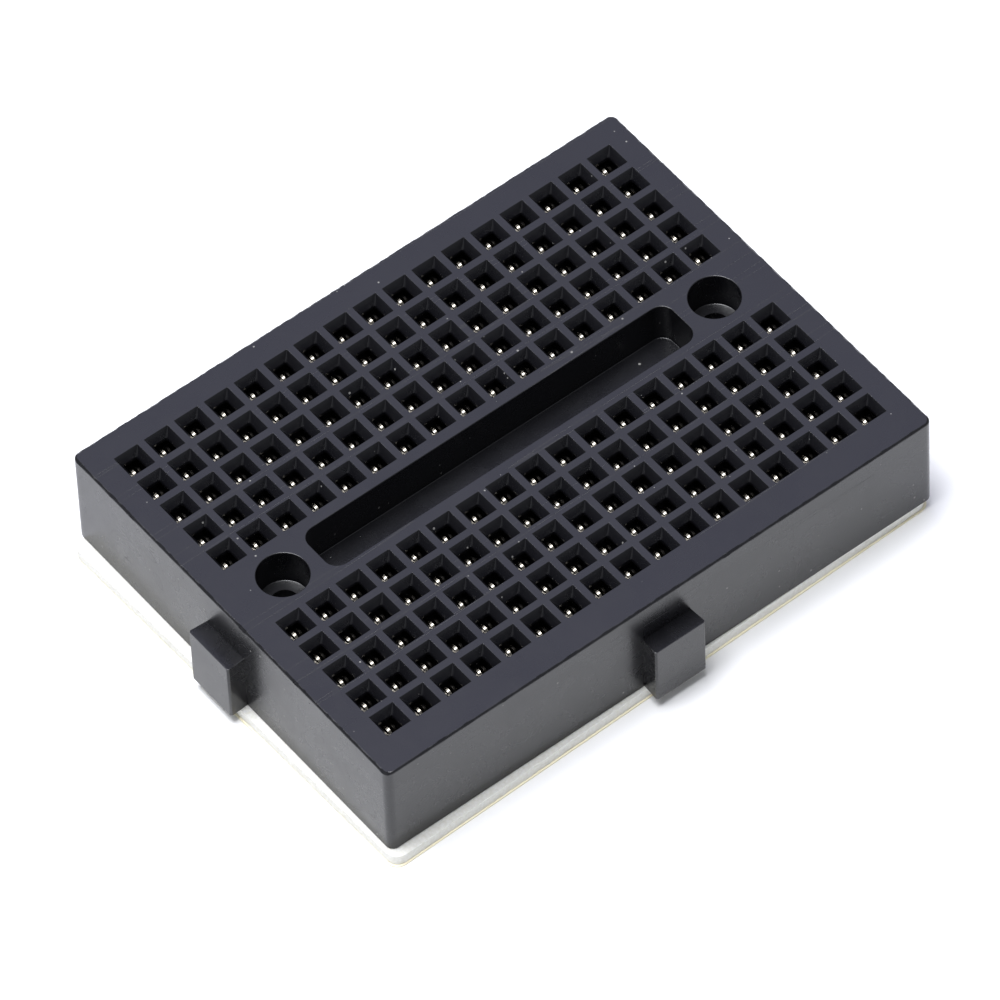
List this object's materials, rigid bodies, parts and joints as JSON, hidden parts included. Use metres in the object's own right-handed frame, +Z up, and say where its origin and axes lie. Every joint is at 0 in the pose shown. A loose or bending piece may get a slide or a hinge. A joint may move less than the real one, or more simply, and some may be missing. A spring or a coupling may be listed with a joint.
{
  "type": "solderless breadboard",
  "caption": "Small rectangular solderless breadboard: black housing with a grid of square tie points about a trough, folded spring contacts inside, foam mounting tape below.",
  "frame": {"origin": "on the underside of the release liner, straight below the middle of the tie-point grid", "axes": "+X along the trough, +Y across it away from the long side that has a tab, +Z up out of the tie points"},
  "size_m": [0.048, 0.0365, 0.0094],
  "materials": {
    "moulded_abs": "black moulded ABS with a fine satin texture",
    "plated_bronze": "nickel-plated phosphor bronze strip, bright",
    "foam_tape": "white closed-cell foam with a clear adhesive coat on both faces",
    "liner_paper": "cream release paper with a thin silicone coat"
  },
  "bodies": {
    "board": {"housing": "moulded_abs", "contact_front_01": "plated_bronze", "contact_front_02": "plated_bronze", "contact_front_03": "plated_bronze", "contact_front_04": "plated_bronze", "contact_front_05": "plated_bronze", "contact_front_06": "plated_bronze", "contact_front_07": "plated_bronze", "contact_front_08": "plated_bronze", "contact_front_09": "plated_bronze", "contact_front_10": "plated_bronze", "contact_front_11": "plated_bronze", "contact_front_12": "plated_bronze", "contact_front_13": "plated_bronze", "contact_front_14": "plated_bronze", "contact_front_15": "plated_bronze", "contact_front_16": "plated_bronze", "contact_front_17": "plated_bronze", "contact_back_01": "plated_bronze", "contact_back_02": "plated_bronze", "contact_back_03": "plated_bronze", "contact_back_04": "plated_bronze", "contact_back_05": "plated_bronze", "contact_back_06": "plated_bronze", "contact_back_07": "plated_bronze", "contact_back_08": "plated_bronze", "contact_back_09": "plated_bronze", "contact_back_10": "plated_bronze", "contact_back_11": "plated_bronze", "contact_back_12": "plated_bronze", "contact_back_13": "plated_bronze", "contact_back_14": "plated_bronze", "contact_back_15": "plated_bronze", "contact_back_16": "plated_bronze", "contact_back_17": "plated_bronze", "foam_tape": "foam_tape"},
    "liner": {"release_liner": "liner_paper"}
  },
  "joints": [
    {"name": "liner_release", "type": "slide", "parent": "board", "child": "liner", "axis": [0, -1, 0], "range_m": [0, 0.045]}
  ]
}
